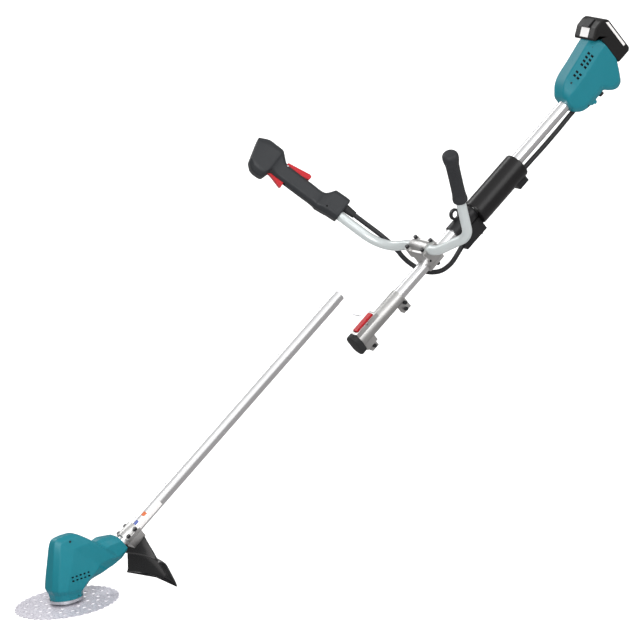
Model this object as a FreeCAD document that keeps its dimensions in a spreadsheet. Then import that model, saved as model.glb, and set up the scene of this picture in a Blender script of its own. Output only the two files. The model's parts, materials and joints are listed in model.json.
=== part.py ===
# Battery brush cutter with a two-piece shaft and a U-shaped handlebar, shown with its shaft undone.
#
# Frame: millimetres.  +X runs along the shaft from the cutting head to the battery, +Z is up from
# the shaft, and -Y is the operator's left.  The origin is the centre of the harness eye.
import FreeCAD, Part
import math
import os
import Sketcher
from FreeCAD import Placement, Rotation, Vector

doc = FreeCAD.newDocument("BrushCutter")

# ------------------------------------------------------------------ driving dimensions
SIZES = {
    # shaft tubes
    "pipe_dia": 28.0, "pipe_wall": 1.5, "axis_drop": 28.0,
    "rear_pipe_start": -285.0, "rear_pipe_end": 435.0,
    "front_pipe_start": -1165.0, "front_pipe_end": -372.0,
    "spigot_dia": 27.2, "spigot_run": 17.0,
    # where the undone front half lies beside the rear half
    "front_side": -96.0, "front_rise": 173.0,
    # coupling
    "mouth_x": -367.0, "coupling_run": 141.0, "coupling_dia": 34.0, "socket_clear": 0.06,
    "lever_pin_x": -332.0, "lever_pin_up": 19.2, "lever_run": 54.0, "lever_wide": 14.0,
    "lever_top": 26.0, "lever_gap": 2.0, "small_pin_dia": 3.0, "pin_clear": 0.05,
    "bolt_dia": 5.0, "bolt_head_dia": 9.0, "bolt_head_high": 5.0,
    "cap_thick": 15.0, "cap_round": 18.0, "cap_above": 25.6, "cap_below": 27.7, "face_gap": 0.3,
    # handlebar and its clamp
    "bar_dia": 22.0, "bar_wall": 2.0, "bar_up": 35.0, "clamp_x": -111.0, "clamp_run": 40.0,
    "clamp_wide": 72.0, "clamp_bolt_x": 15.0, "clamp_bolt_y": 29.0, "split_gap": 0.6,
    "grip_length": 142.0, "grip_dia": 30.0, "case_grip_deep": 41.0, "case_grip_wide": 32.0,
    "case_wall": 3.5, "trigger_wide": 13.0, "lock_wide": 10.0, "side_gap": 0.7,
    # harness eye, hip pad and cable
    "eye_hole_dia": 16.0, "eye_dia": 27.0, "eye_thick": 7.0, "band_run": 38.0, "band_dia": 37.0,
    "pad_start": 38.0, "pad_run": 155.0, "pad_dia": 60.6, "pad_drop": 9.0, "cable_dia": 11.0,
    # battery end
    "housing_wide": 74.0, "housing_wall": 3.5, "housing_rear": 523.0, "battery_gap": 0.4,
    "battery_wide": 75.0, "battery_deep": 43.0, "battery_bottom": -12.0, "cell_dia": 18.0,
    "cell_run": 65.0, "cell_pitch": 18.4, "button_wide": 26.0, "button_gap": 0.5,
    # cutting head
    "head_x": -1308.0, "head_up": 4.5, "head_tilt": 30.87, "blade_dia": 230.0,
    "blade_thick": 1.8, "blade_bore": 25.4, "blade_teeth": 40.0, "tooth_deep": 4.5,
    "ring_dia": 76.0, "ring_low": 8.0, "ring_high": 14.0, "spindle_dia": 10.0,
    "motor_dia": 56.0, "motor_low": 38.0, "motor_high": 86.0, "rotor_dia": 31.4, "air_gap": 0.6,
    "neck_end": -1130.0, "guard_thick": 3.0,
}
sheet = doc.addObject("Spreadsheet::Sheet", "Sizes")
for row, (alias, number) in enumerate(SIZES.items(), start=1):
    sheet.set("A%d" % row, alias)
    sheet.set("B%d" % row, str(number))
    sheet.setAlias("B%d" % row, alias)
doc.recompute()


def num(expression):
    """The value of a number or of an expression on the sheet's cells."""
    if isinstance(expression, str):
        return float(sheet.evalExpression(expression))
    return float(expression)


def cell(words):
    """An expression on aliases, with each alias tied to the sheet."""
    if not isinstance(words, str):
        return str(words)
    out = []
    for word in words.split(" "):
        out.append("Sizes." + word if word in SIZES else word)
    return " ".join(out)


# ------------------------------------------------------------------ frames of the assembly
REAR = Placement(Vector(0, 0, -num("axis_drop")), Rotation())
FRONT = Placement(Vector(0, num("front_side"), num("front_rise") - num("axis_drop")), Rotation())
HEAD = FRONT.multiply(Placement(Vector(num("head_x"), 0, num("head_up")),
                                Rotation(Vector(0, 1, 0), num("head_tilt"))))
ALONG_X = Rotation(Vector(0, 0, 1), Vector(1, 0, 0))
ALONG_Y = Rotation(Vector(0, 0, 1), Vector(0, 1, 0))
ALONG_Z = Rotation()


def bind(feature, name, words):
    feature.setExpression(name, cell(words))


def rod(name, dia, run, base, turn=ALONG_Z):
    """A solid cylinder of a diameter and a run, from a base point, along a turned axis."""
    feature = doc.addObject("Part::Cylinder", name)
    bind(feature, "Radius", "( " + cell(dia) + " ) / 2")
    bind(feature, "Height", run)
    feature.Placement = Placement(Vector(*[num(b) for b in base]), turn)
    for axis, words in zip("xyz", base):
        if isinstance(words, str):
            bind(feature, "Placement.Base." + axis, words)
    return feature


def block(name, sides, base):
    """A box of three sides whose low corner is at base."""
    feature = doc.addObject("Part::Box", name)
    for side, words in zip(("Length", "Width", "Height"), sides):
        bind(feature, side, words)
    feature.Placement = Placement(Vector(*[num(b) for b in base]), Rotation())
    for axis, words in zip("xyz", base):
        if isinstance(words, str):
            bind(feature, "Placement.Base." + axis, words)
    return feature


def cone(name, dia_low, dia_high, run, base, turn=ALONG_Z):
    feature = doc.addObject("Part::Cone", name)
    bind(feature, "Radius1", "( " + cell(dia_low) + " ) / 2")
    bind(feature, "Radius2", "( " + cell(dia_high) + " ) / 2")
    bind(feature, "Height", run)
    feature.Placement = Placement(Vector(*[num(b) for b in base]), turn)
    return feature


def sketched(name, plane_role, outline):
    """A body with a closed straight-sided sketch, each corner held by two bound distances."""
    body = doc.addObject("PartDesign::Body", name)
    plane = [f for f in body.Origin.OriginFeatures if f.Role == plane_role][0]
    sketch = body.newObject("Sketcher::SketchObject", name + "_outline")
    sketch.AttachmentSupport = (plane, [""])
    sketch.MapMode = "FlatFace"
    corners = [Vector(num(a), num(b), 0) for a, b in outline]
    count = len(corners)
    for i in range(count):
        sketch.addGeometry(Part.LineSegment(corners[i], corners[(i + 1) % count]), False)
    for i in range(count):
        sketch.addConstraint(Sketcher.Constraint("Coincident", i, 2, (i + 1) % count, 1))
    for i, pair in enumerate(outline):
        for kind, words, value in zip(("DistanceX", "DistanceY"), pair, corners[i]):
            index = sketch.addConstraint(Sketcher.Constraint(kind, -1, 1, i, 1, value))
            if isinstance(words, str):
                sketch.setExpression("Constraints[%d]" % index, cell(words))
    return body, sketch


def prism(name, outline, width, plane_role="XZ_Plane"):
    """An outline padded to both sides of its plane."""
    body, sketch = sketched(name, plane_role, outline)
    pad = body.newObject("PartDesign::Pad", name + "_pad")
    pad.Profile = sketch
    pad.SideType = "Symmetric"
    bind(pad, "Length", width)
    return body


def turned(name, outline):
    """An outline of (radius, height) corners turned about the vertical axis."""
    body, sketch = sketched(name, "XZ_Plane", outline)
    turn = body.newObject("PartDesign::Revolution", name + "_turn")
    turn.Profile = sketch
    turn.ReferenceAxis = (sketch, ["V_Axis"])
    turn.Angle = 360
    return body


def fuse(name, *parts):
    feature = doc.addObject("Part::MultiFuse", name)
    feature.Shapes = list(parts)
    feature.Refine = True
    return feature


def common(name, *parts):
    feature = doc.addObject("Part::MultiCommon", name)
    feature.Shapes = list(parts)
    return feature


def cut(name, base, *tools):
    feature = doc.addObject("Part::Cut", name)
    feature.Base = base
    feature.Tool = tools[0] if len(tools) == 1 else fuse(name + "_tools", *tools)
    return feature


def group(name, *parts):
    """Separate solids of one node, such as a set of screws."""
    feature = doc.addObject("Part::Compound", name)
    feature.Links = list(parts)
    return feature


SUBPARTS = []


def subpart(label, feature, frame=None):
    """Names a finished sub-part and puts it in its frame of the assembly."""
    feature.Label = label
    if frame is not None:
        feature.Placement = frame.multiply(feature.Placement)
    SUBPARTS.append(feature)
    return feature


def moved(name, feature, frame):
    """A second copy of a feature in another frame, used as a cutting tool."""
    link = doc.addObject("Part::Compound", name)
    link.Links = [feature]
    link.Placement = frame
    return link


def free_shape(label, shape):
    """A sub-part whose shape is made in code, in the assembly's own frame."""
    feature = doc.addObject("Part::Feature", label)
    feature.Shape = shape
    return subpart(label, feature)


def rounded_path(points, radii):
    """Straight runs joined by tangent arcs: one radius for each inner point."""
    edges = []
    start = points[0]
    for i in range(1, len(points) - 1):
        back = (points[i - 1] - points[i]).normalize()
        ahead = (points[i + 1] - points[i]).normalize()
        half_turn = (math.pi - back.getAngle(ahead)) / 2
        reach = radii[i - 1] * math.tan(half_turn)
        first = points[i] + back * reach
        last = points[i] + ahead * reach
        inward = (back + ahead).normalize()
        middle = points[i] + inward * (radii[i - 1] / math.cos(half_turn) - radii[i - 1])
        edges.append(Part.LineSegment(start, first).toShape())
        edges.append(Part.Arc(first, middle, last).toShape())
        start = last
    edges.append(Part.LineSegment(start, points[-1]).toShape())
    return Part.Wire(edges)


def swept(path, radius):
    """A round bar along a path; its volume is compared with section times length."""
    first = path.Edges[0]
    ahead = first.tangentAt(first.FirstParameter)
    ring = Part.makeCircle(radius, first.valueAt(first.FirstParameter), ahead)
    solid = path.makePipeShell([Part.Wire([ring])], True, True)
    expected = math.pi * radius ** 2 * path.Length
    print("swept length %.1f  volume ratio %.5f" % (path.Length, solid.Volume / expected))
    return solid


def widest_radii(points):
    """For each inner point, 0.45 of its shorter run over the tangent of half the turn."""
    radii = []
    for i in range(1, len(points) - 1):
        back = points[i - 1] - points[i]
        ahead = points[i + 1] - points[i]
        half_turn = (math.pi - back.getAngle(ahead)) / 2
        radii.append(0.45 * min(back.Length, ahead.Length) / math.tan(half_turn))
    return radii


# ------------------------------------------------------------------ rear shaft tube
rear_run = "rear_pipe_end - rear_pipe_start"
pipe_bore = "pipe_dia - 2 * pipe_wall"
rear_pipe = cut("rear_tube",
                rod("rear_tube_out", "pipe_dia", rear_run, ("rear_pipe_start", 0, 0), ALONG_X),
                rod("rear_tube_in", pipe_bore, rear_run, ("rear_pipe_start", 0, 0), ALONG_X))
subpart("rear_pipe", rear_pipe, REAR)

# ------------------------------------------------------------------ coupling with its lever
LUGS = (("front", -357.0, 20.0, 41.0), ("rear", -243.0, 23.0, 38.0))
BOLTS = ((-347.0, -33.0), (-227.5, -19.0), (-234.5, -31.5))
LUG_HALF = 7.0
lever_seat = 15.5
coupling_solid = [
    rod("coupling_barrel", "coupling_dia", "coupling_run", ("mouth_x", 0, 0), ALONG_X),
    block("lever_housing", (70, 26, 22), ("mouth_x", -13, 0)),
    block("mouth_foot", (34, 24, 27), ("mouth_x", -12, -27)),
]
for lug_name, lug_x, lug_run, lug_deep in LUGS:
    coupling_solid.append(block(lug_name + "_lug", (lug_run, 2 * LUG_HALF, lug_deep),
                                (lug_x, -LUG_HALF, -lug_deep)))
coupling_bolts = []
bolt_heads = []
for i, (bolt_x, bolt_z) in enumerate(BOLTS):
    coupling_bolts.append(fuse("coupling_bolt_%d" % i,
                               rod("cb_shank_%d" % i, "bolt_dia", 2 * LUG_HALF, (bolt_x, -LUG_HALF, bolt_z), ALONG_Y),
                               rod("cb_head_%d" % i, "bolt_head_dia", "bolt_head_high",
                                   (bolt_x, "0 - %f - bolt_head_high" % LUG_HALF, bolt_z), ALONG_Y)))
    bolt_heads.append(rod("cb_hole_%d" % i, "bolt_dia", 22, (bolt_x, -11, bolt_z), ALONG_Y))
    bolt_heads.append(rod("cb_face_%d" % i, "bolt_head_dia", 8, (bolt_x, -LUG_HALF - 8, bolt_z), ALONG_Y))
socket_bore = rod("socket_bore", "pipe_dia + 2 * socket_clear", "rear_pipe_start - mouth_x",
                  ("mouth_x", 0, 0), ALONG_X)
tube_seat = rod("tube_seat", "pipe_dia", 100, ("rear_pipe_start", 0, 0), ALONG_X)
lever_pocket = block("lever_pocket", ("lever_run + 2 * lever_gap", "lever_wide + 2 * side_gap", 20),
                     ("lever_pin_x - lever_run / 2 - lever_gap",
                      "-lever_wide / 2 - side_gap".replace("-lever", "0 - lever"), lever_seat))
pin_hole = rod("lever_pin_hole", "small_pin_dia", 30, ("lever_pin_x", -15, "lever_pin_up"), ALONG_Y)
clamp_split = [block("front_split", (40, 1.5, 40), (-368, -0.75, -50)),
               block("rear_split", (40, 1.5, 40), (-246, -0.75, -50))]
coupling_body = cut("coupling", fuse("coupling_solid", *coupling_solid), socket_bore, tube_seat,
                    lever_pocket, pin_hole, *bolt_heads, *clamp_split)
subpart("coupling_body", coupling_body, REAR)
subpart("coupling_bolts", group("coupling_bolt_set", *coupling_bolts), REAR)
subpart("lever_pin", rod("lever_pin_rod", "small_pin_dia", 26,
                         ("lever_pin_x", -13, "lever_pin_up"), ALONG_Y), REAR)
lever = cut("lever_cut",
            fuse("lever_solid",
                 block("lever_bar", ("lever_run", "lever_wide", "lever_top - lever_pin_up - 0.8"),
                       ("lever_pin_x - lever_run / 2", "0 - lever_wide / 2", "lever_pin_up + 0.8")),
                 rod("lever_hub", 6, "lever_wide", ("lever_pin_x", "0 - lever_wide / 2",
                                                    "lever_pin_up"), ALONG_Y)),
            rod("lever_hub_hole", "small_pin_dia + 2 * pin_clear", 30,
                ("lever_pin_x", -15, "lever_pin_up"), ALONG_Y))
subpart("coupling_lever", lever, REAR)
connector = fuse("connector_solid",
                 rod("connector_drum", pipe_bore, 20, ("rear_pipe_start + 1", 0, 0), ALONG_X),
                 rod("connector_nose", 12, 6, ("rear_pipe_start - 4", 0, 0), ALONG_X))
subpart("coupling_connector", connector, REAR)
cap_start = "mouth_x - face_gap - cap_thick"
cap = fuse("cap_solid",
           rod("cap_top", "2 * cap_round", "cap_thick", (cap_start, 0, "cap_above - cap_round"),
               ALONG_X),
           rod("cap_low", "2 * cap_round", "cap_thick", (cap_start, 0, "cap_round - cap_below"),
               ALONG_X),
           block("cap_mid", ("cap_thick", "2 * cap_round", "cap_above + cap_below - 2 * cap_round"),
                 (cap_start, "0 - cap_round", "cap_round - cap_below")))
subpart("socket_cap", cap, REAR)

# ------------------------------------------------------------------ handlebar clamp
clamp_start = "clamp_x - clamp_run / 2"
bar_void = rod("bar_void", "bar_dia", 120, ("clamp_x", -60, "bar_up"), ALONG_Y)
pipe_void = rod("pipe_void", "pipe_dia", 120, ("clamp_x - 60", 0, 0), ALONG_X)
clamp_bolts = []
clamp_holes = []
CORNERS = ((1, 1), (1, -1), (-1, 1), (-1, -1))
for i, (side_x, side_y) in enumerate(CORNERS):
    spot_x = "clamp_x + %d * clamp_bolt_x" % side_x
    spot_y = "%d * clamp_bolt_y" % side_y
    clamp_bolts.append(fuse("clamp_bolt_%d" % i,
                            rod("clb_shank_%d" % i, "bolt_dia", 34, (spot_x, spot_y, 12)),
                            rod("clb_head_%d" % i, "bolt_head_dia", "bolt_head_high + 1",
                                (spot_x, spot_y, 46))))
    clamp_holes.append(rod("clb_hole_%d" % i, "bolt_dia", 40, (spot_x, spot_y, 12)))
half_split = "split_gap / 2"
clamp_body = cut("clamp_body_cut",
                 fuse("clamp_body_solid",
                      block("clamp_waist", ("clamp_run", 48, 24), (clamp_start, -24, half_split)),
                      block("clamp_wings", ("clamp_run", "clamp_wide", "bar_up - 20 - split_gap / 2"),
                            (clamp_start, "0 - clamp_wide / 2", 20))),
                 bar_void, pipe_void, *clamp_holes,
                 *[rod("base_thread_%d" % i, "bolt_dia", 20, ("clamp_x", y, -8))
                   for i, y in enumerate((-19, 19))])
subpart("handle_clamp_body", clamp_body, REAR)
cap_low = "bar_up + split_gap / 2"
clamp_cap = cut("clamp_cap_cut",
                fuse("clamp_cap_solid",
                     rod("cap_crown", "bar_dia + 10", "clamp_wide - 8",
                         ("clamp_x", "4 - clamp_wide / 2", "bar_up"), ALONG_Y),
                     block("cap_flange", ("clamp_run", "clamp_wide", 6),
                           (clamp_start, "0 - clamp_wide / 2", cap_low)),
                     *[rod("cap_boss_%d" % i, 12, "46 - bar_up - split_gap / 2",
                           ("clamp_x + %d * clamp_bolt_x" % a, "%d * clamp_bolt_y" % b, cap_low))
                       for i, (a, b) in enumerate(CORNERS)]),
                moved("bar_void_cap", bar_void, Placement()),
                block("below_cap", (60, 90, 30), ("clamp_x - 30", -45, "bar_up + split_gap / 2 - 30")),
                *[rod("cap_hole_%d" % i, "bolt_dia", 40,
                      ("clamp_x + %d * clamp_bolt_x" % a, "%d * clamp_bolt_y" % b, 12))
                  for i, (a, b) in enumerate(CORNERS)],
                *[rod("cap_face_%d" % i, "bolt_head_dia", 20,
                      ("clamp_x + %d * clamp_bolt_x" % a, "%d * clamp_bolt_y" % b, 46))
                  for i, (a, b) in enumerate(CORNERS)])
subpart("handle_clamp_cap", clamp_cap, REAR)
subpart("clamp_cap_screws", group("clamp_bolt_set", *clamp_bolts), REAR)
clamp_base = cut("clamp_base_cut",
                 fuse("clamp_base_solid",
                      rod("base_barrel", "pipe_dia + 11", "clamp_run", (clamp_start, 0, 0), ALONG_X),
                      block("base_ears", ("clamp_run", 48, 8), (clamp_start, -24, "0 - 8 - split_gap / 2"))),
                 moved("pipe_void_base", pipe_void, Placement()),
                 block("above_base", (60, 60, 40), ("clamp_x - 30", -30, "0 - split_gap / 2")),
                 *[rod("base_hole_%d" % i, "bolt_dia", 20, ("clamp_x", y, -15))
                   for i, y in enumerate((-19, 19))],
                 *[rod("base_face_%d" % i, "bolt_head_dia", 12, ("clamp_x", y, "0 - 20 - split_gap / 2"))
                   for i, y in enumerate((-19, 19))])
subpart("handle_clamp_base", clamp_base, REAR)
base_screws = [fuse("base_screw_%d" % i,
                    rod("bs_shank_%d" % i, "bolt_dia", 20, ("clamp_x", y, "0 - 8 - split_gap / 2")),
                    rod("bs_head_%d" % i, "bolt_head_dia", "bolt_head_high",
                        ("clamp_x", y, "0 - 8 - split_gap / 2 - bolt_head_high")))
               for i, y in enumerate((-19, 19))]
subpart("clamp_base_screws", group("base_screw_set", *base_screws), REAR)

# ------------------------------------------------------------------ harness band and eye
band = cut("band_cut", rod("band_out", "band_dia", "band_run", (-33, 0, 0), ALONG_X),
           rod("band_in", "pipe_dia", "band_run", (-33, 0, 0), ALONG_X))
subpart("hanger_band", band, REAR)
eye = cut("eye_cut",
          fuse("eye_solid",
               rod("eye_ring", "eye_dia", "eye_thick", (0, "0 - eye_thick / 2", 0), ALONG_Y),
               block("eye_stem", (8, "eye_thick", "axis_drop - band_dia / 2 - 9"),
                     (-4, "0 - eye_thick / 2", "band_dia / 2 - axis_drop"))),
          rod("eye_hole", "eye_hole_dia", 20, (0, -10, 0), ALONG_Y),
          rod("eye_stem_seat", "band_dia", 30, (-15, 0, "0 - axis_drop"), ALONG_X))
subpart("hanger_eye", eye)

# ------------------------------------------------------------------ control cable
R1 = Vector(-133.6, 130.0, 30.8)
HANDLE_AIM = Vector(-0.0762, 0.5198, 0.851).normalize()
HANDLE_START = R1 + HANDLE_AIM * 124.0
HANDLE_OUT = Vector(1, 0, 0)
HANDLE_OUT = (HANDLE_OUT - HANDLE_AIM * HANDLE_OUT.dot(HANDLE_AIM)).normalize()
HANDLE_SIDE = HANDLE_AIM.cross(HANDLE_OUT)
HANDLE = REAR.multiply(Placement(HANDLE_START,
                                 Rotation(HANDLE_OUT, HANDLE_SIDE, HANDLE_AIM, "ZXY")))
BOOT_OUT = 22.0
BOOT_RUN = 27.0
boot_mouth = HANDLE_START + HANDLE_OUT * BOOT_OUT
CABLE_ROUTE = [
    Vector(410, -3, -25), Vector(368, -3, -25.5), Vector(320, -3, -27.5), Vector(260, -3, -28),
    Vector(205, -3, -26.5), Vector(150, -2, -27.5), Vector(60, 0, -29), Vector(0, 3, -34),
    Vector(-45, 6, -47), Vector(-76, 11, -56), Vector(-103, 20, -54), Vector(-124, 33, -38),
    Vector(-133, 52, -13), Vector(-129, 82, 4), Vector(-117, 112, 14), Vector(-113, 139, 46),
    boot_mouth - HANDLE_AIM * 52, boot_mouth - HANDLE_AIM * 20, boot_mouth + HANDLE_AIM * 6,
]
cable_points = [REAR.multVec(p) for p in CABLE_ROUTE[:-2] + CABLE_ROUTE[-1:]]
cable_radii = widest_radii(cable_points)
print("cable arc radii:", ", ".join("%.0f" % r for r in cable_radii))
cable_path = rounded_path(cable_points, cable_radii)
control_cable = free_shape("control_cable", swept(cable_path, num("cable_dia") / 2))


def cable_tool(name):
    """The cable's own solid as a cutting tool, seen from the shaft's frame."""
    return moved(name, control_cable, REAR.inverse())


# ------------------------------------------------------------------ hip pad and its clips
pad = cut("pad_cut", rod("pad_out", "pad_dia", "pad_run", ("pad_start", 0, "0 - pad_drop"), ALONG_X),
          rod("pad_pipe", "pipe_dia", "pad_run", ("pad_start", 0, 0), ALONG_X), cable_tool("pad_cable"))
subpart("hip_pad", pad, REAR)
front_clip = cut("front_clip_cut",
                 fuse("front_clip_solid",
                      block("front_clip_block", (68, 28, 34), ("pad_start - 68", -8, -53)),
                      rod("front_clip_ring", "pipe_dia + 6", 28, ("pad_start - 28", 0, 0), ALONG_X),
                      block("front_clip_web", (28, 12, 12), ("pad_start - 28", -6, -26))),
                 rod("front_clip_bore", "pipe_dia", 80, ("pad_start - 70", 0, 0), ALONG_X),
                 cable_tool("front_clip_cable"),
                 rod("front_screw_hole", 4, 12, ("pad_start - 16", -3.4, -54)))
subpart("pad_clip_front", front_clip, REAR)
rear_clip = cut("rear_clip_cut",
                block("rear_clip_block", (30, 22, 18), ("pad_start + 118", -14, -50)),
                rod("rear_clip_bed", "pad_dia", 40, ("pad_start + 110", 0, "0 - pad_drop"), ALONG_X),
                rod("rear_screw_hole", 4, 10, ("pad_start + 128", -3.4, -51)))
subpart("pad_clip_rear", rear_clip, REAR)
pad_screws = [fuse("pad_screw_%d" % i,
                   rod("ps_shank_%d" % i, 4, run, (x, -3.4, low)),
                   rod("ps_head_%d" % i, 7, 2.4, (x, -3.4, low - 2.4)))
              for i, (x, low, run) in enumerate((("pad_start - 16", -53, 11),
                                                 ("pad_start + 128", -50, 9)))]
subpart("pad_screws", group("pad_screw_set", *pad_screws), REAR)

# ------------------------------------------------------------------ housing at the battery end
rear_x = "housing_rear"
side_view = [(372, -8), (374, 14), (381, 38), (402, 53), (470, 67), (505, 73), (rear_x, 73),
             (rear_x, -16), (503, -58), (484, -60), (466, -46), (456, -34), (438, -34),
             (428, -40), (415, -40), (409, -35), (388, -35), (377, -26)]
half_wide = "housing_wide / 2"
low_wide = "0 - housing_wide / 2"
plan_view = [(370, -24), (380, -29), (398, -33), (424, low_wide), (530, low_wide), (530, half_wide),
             (424, half_wide), (398, 33), (380, 29), (370, 24)]
end_view = [(-26, -62), (26, -62), (33, -42), (half_wide, -25), (half_wide, 44), (18, 73), (18, 80),
            (-18, 80), (-18, 73), (low_wide, 44), (low_wide, -25), (-33, -42)]
end_prism = prism("housing_end", end_view, 400, "YZ_Plane")
end_prism.Placement = Placement(Vector(450, 0, 0), Rotation())
housing_outer = common("housing_outer", prism("housing_side", side_view, 100),
                       prism("housing_plan", plan_view, 200, "XY_Plane"), end_prism)
cavity = fuse("housing_cavity",
              block("housing_room", ("housing_rear - 418 - housing_wall",
                                     "housing_wide - 2 * housing_wall", 70),
                    (418, "housing_wall - housing_wide / 2", -28)),
              block("housing_nose_room", (30, 53, 70), (395, -26.5, -28)))
SCREW_SPOTS = ((403, -29), (405, 40), (492, -48), (500, 58))
housing_screws = []
for i, (x, z) in enumerate(SCREW_SPOTS):
    inset = (31.5, 28.0, 30.0, 26.0)[i]
    housing_screws.append(rod("housing_screw_%d" % i, 5, 12, (x, -inset, z), ALONG_Y))
housing_body = cut("housing_body", housing_outer, cavity,
                   rod("housing_pipe", "pipe_dia", "rear_pipe_end - 360", (360, 0, 0), ALONG_X),
                   cable_tool("housing_cable"),
                   group("housing_screw_tools", *housing_screws))
subpart("rear_housing_left", cut("housing_left", housing_body,
                                 block("left_half", (300, 100, 300), (340, 0, -150))), REAR)
subpart("rear_housing_right", cut("housing_right", housing_body,
                                  block("right_half", (300, 100, 300), (340, -100, -150))), REAR)
subpart("housing_screws", group("housing_screw_set", *housing_screws), REAR)
subpart("controller_board", block("board", (62, 50, 4), (400, -25, 20)), REAR)
subpart("battery_terminal", block("terminal", (14, 40, 30),
                                  ("housing_rear - housing_wall - 14", -20, 10)), REAR)
foot = block("foot", (12, 16, 7), (441, -29, -41))
subpart("housing_foot", foot, REAR)

# ------------------------------------------------------------------ battery
inner_x = "housing_rear + battery_gap"
outer_x = "housing_rear + battery_deep"
low_z = "battery_bottom"
battery_view = [(inner_x, low_z), ("housing_rear + battery_deep - 6", low_z),
                (outer_x, "battery_bottom + 6"), (outer_x, 82), ("housing_rear + battery_deep - 7", 91),
                ("housing_rear + 24", 94), ("housing_rear + 2", 92), ("housing_rear - 15", 80),
                ("housing_rear - 18", "73 + battery_gap"), (inner_x, "73 + battery_gap")]
battery_solid = prism("battery_side", battery_view, "battery_wide")
battery_room = block("battery_room", ("battery_deep - 7", "cell_run + 4", 93),
                     ("housing_rear + 3.5", "0 - cell_run / 2 - 2", "battery_bottom + 2.2"))
button_pocket = block("button_pocket", ("24 + 2 * button_gap", "button_wide + 2 * button_gap", 20),
                      ("housing_rear + 3 - button_gap", "0 - button_wide / 2 - button_gap", 84.7))
battery_body = cut("battery_body", battery_solid, battery_room, button_pocket)
subpart("battery_case_outer",
        cut("battery_outer", battery_body,
            block("battery_inner_side", (60, 100, 160), ("housing_rear - 38", -50, -40))), REAR)
subpart("battery_case_inner",
        cut("battery_inner", battery_body,
            block("battery_outer_side", (60, 100, 160), ("housing_rear + 22", -50, -40))), REAR)
cells = []
for column in range(2):
    for level in range(5):
        cells.append(rod("cell_%d_%d" % (column, level), "cell_dia", "cell_run",
                         ("housing_rear + 12.5 + %d * cell_dia" % column, "0 - cell_run / 2",
                          "battery_bottom + 12.4 + %d * cell_pitch" % level), ALONG_Y))
subpart("battery_cells", group("cell_set", *cells), REAR)
subpart("battery_button", block("button", (24, "button_wide", 8),
                                ("housing_rear + 3", "0 - button_wide / 2", 88.5)), REAR)

# ------------------------------------------------------------------ handlebar and left grip
P1 = Vector(-66.7, -150.0, 53.5)
GRIP_AIM = Vector(0.2045, -0.343, 0.917).normalize()
GRIP_START = P1 + GRIP_AIM * 106
clamp_mid = Vector(num("clamp_x"), 0, num("bar_up"))
bar_reach = 58.0
BAR_PAST_CASE = 70.0
bar_points = [GRIP_START + GRIP_AIM * (num("grip_length") - 10), P1,
              clamp_mid - Vector(0, bar_reach, 0), clamp_mid + Vector(0, bar_reach, 0), R1,
              HANDLE_START + HANDLE_AIM * BAR_PAST_CASE]
bar_path = rounded_path([REAR.multVec(p) for p in bar_points], [45.0, 80.0, 120.0, 95.0])
bar_outer = swept(bar_path, num("bar_dia") / 2)
bar_inner = swept(bar_path, num("bar_dia") / 2 - num("bar_wall"))
handlebar = free_shape("handlebar", bar_outer.cut(bar_inner))
bore = "bar_dia / 2"
grip_r = "grip_dia / 2"
grip_view = [(bore, 0), ("grip_dia / 2 - 1", 0), ("grip_dia / 2 + 2", 5), ("grip_dia / 2 + 1.5", 12),
             (grip_r, 24), (grip_r, 100), ("grip_dia / 2 + 1", 112), ("grip_dia / 2 + 3.6", 120),
             ("grip_dia / 2 + 3.6", 132), ("grip_dia / 2 - 1", "grip_length"), (2, "grip_length"),
             (2, "grip_length - 10"), (bore, "grip_length - 10")]
grip = turned("grip", grip_view)
GRIP = REAR.multiply(Placement(GRIP_START, Rotation(Vector(0, 0, 1), GRIP_AIM)))
subpart("left_grip", grip, GRIP)

# ------------------------------------------------------------------ trigger handle
deep = "case_grip_deep / 2"
deep_low = "0 - case_grip_deep / 2"
grip_side = [(deep_low, 50), (deep, 50), (deep, 190), (deep_low, 190)]
bump_side = [(-16, 0), (42, 0), (42, 7), (41, 38), (24, 52), (deep, 66), (deep_low, 64), (-22, 54),
             (-17, 10)]
head_side = [(deep_low, 164), (deep_low, 184), (-31, 187), (-42.5, 190), (-40, 221), (-30, 232),
             (27, 252), (41, 228), (41, 184), (22, 164)]
case_outer = fuse("case_outer", prism("case_grip", grip_side, "case_grip_wide"),
                  prism("case_bump", bump_side, 38), prism("case_head", head_side, 46))
room_wide = "case_grip_wide - 2 * case_wall"
case_room = block("case_room", ("case_grip_deep - 2 * case_wall", room_wide, 160),
                  ("case_wall - case_grip_deep / 2", "case_wall - case_grip_wide / 2", 76))
TRIGGER_PIVOT = (-14.0, 180.0)
LOCK_PIVOT = (16.5, 158.0)
trigger_slot = block("trigger_slot", (20, "trigger_wide + 2 * side_gap", 50),
                     (-32, "0 - trigger_wide / 2 - side_gap", 139))
lock_slot = block("lock_slot", (22, "lock_wide + 2 * side_gap", 71),
                  (12.6, "0 - lock_wide / 2 - side_gap", 96))
case_pins = [rod("case_pin_%d" % i, "small_pin_dia", "case_grip_wide - 4",
                 (p, "2 - case_grip_wide / 2", s), ALONG_Y)
             for i, (p, s) in enumerate((TRIGGER_PIVOT, LOCK_PIVOT))]
case_screws = [rod("case_screw_%d" % i, 5, 9, (p, y, s), ALONG_Y)
               for i, (p, y, s) in enumerate(((28, -18, 22), (-9, -22, 212), (24, -22, 212)))]
case_body = cut("case_body", case_outer, case_room, trigger_slot, lock_slot,
                rod("case_bar", "bar_dia", "%f + 5" % BAR_PAST_CASE, (0, 0, -5)),
                group("case_pin_tools", *case_pins), group("case_screw_tools", *case_screws),
                moved("case_cable", control_cable, HANDLE.inverse()))
subpart("trigger_case_left", cut("case_left", case_body,
                                 block("case_left_half", (150, 60, 320), (-75, 0, -40))), HANDLE)
subpart("trigger_case_right", cut("case_right", case_body,
                                  block("case_right_half", (150, 60, 320), (-75, -60, -40))), HANDLE)
subpart("case_screws", group("case_screw_set", *case_screws), HANDLE)
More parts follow.
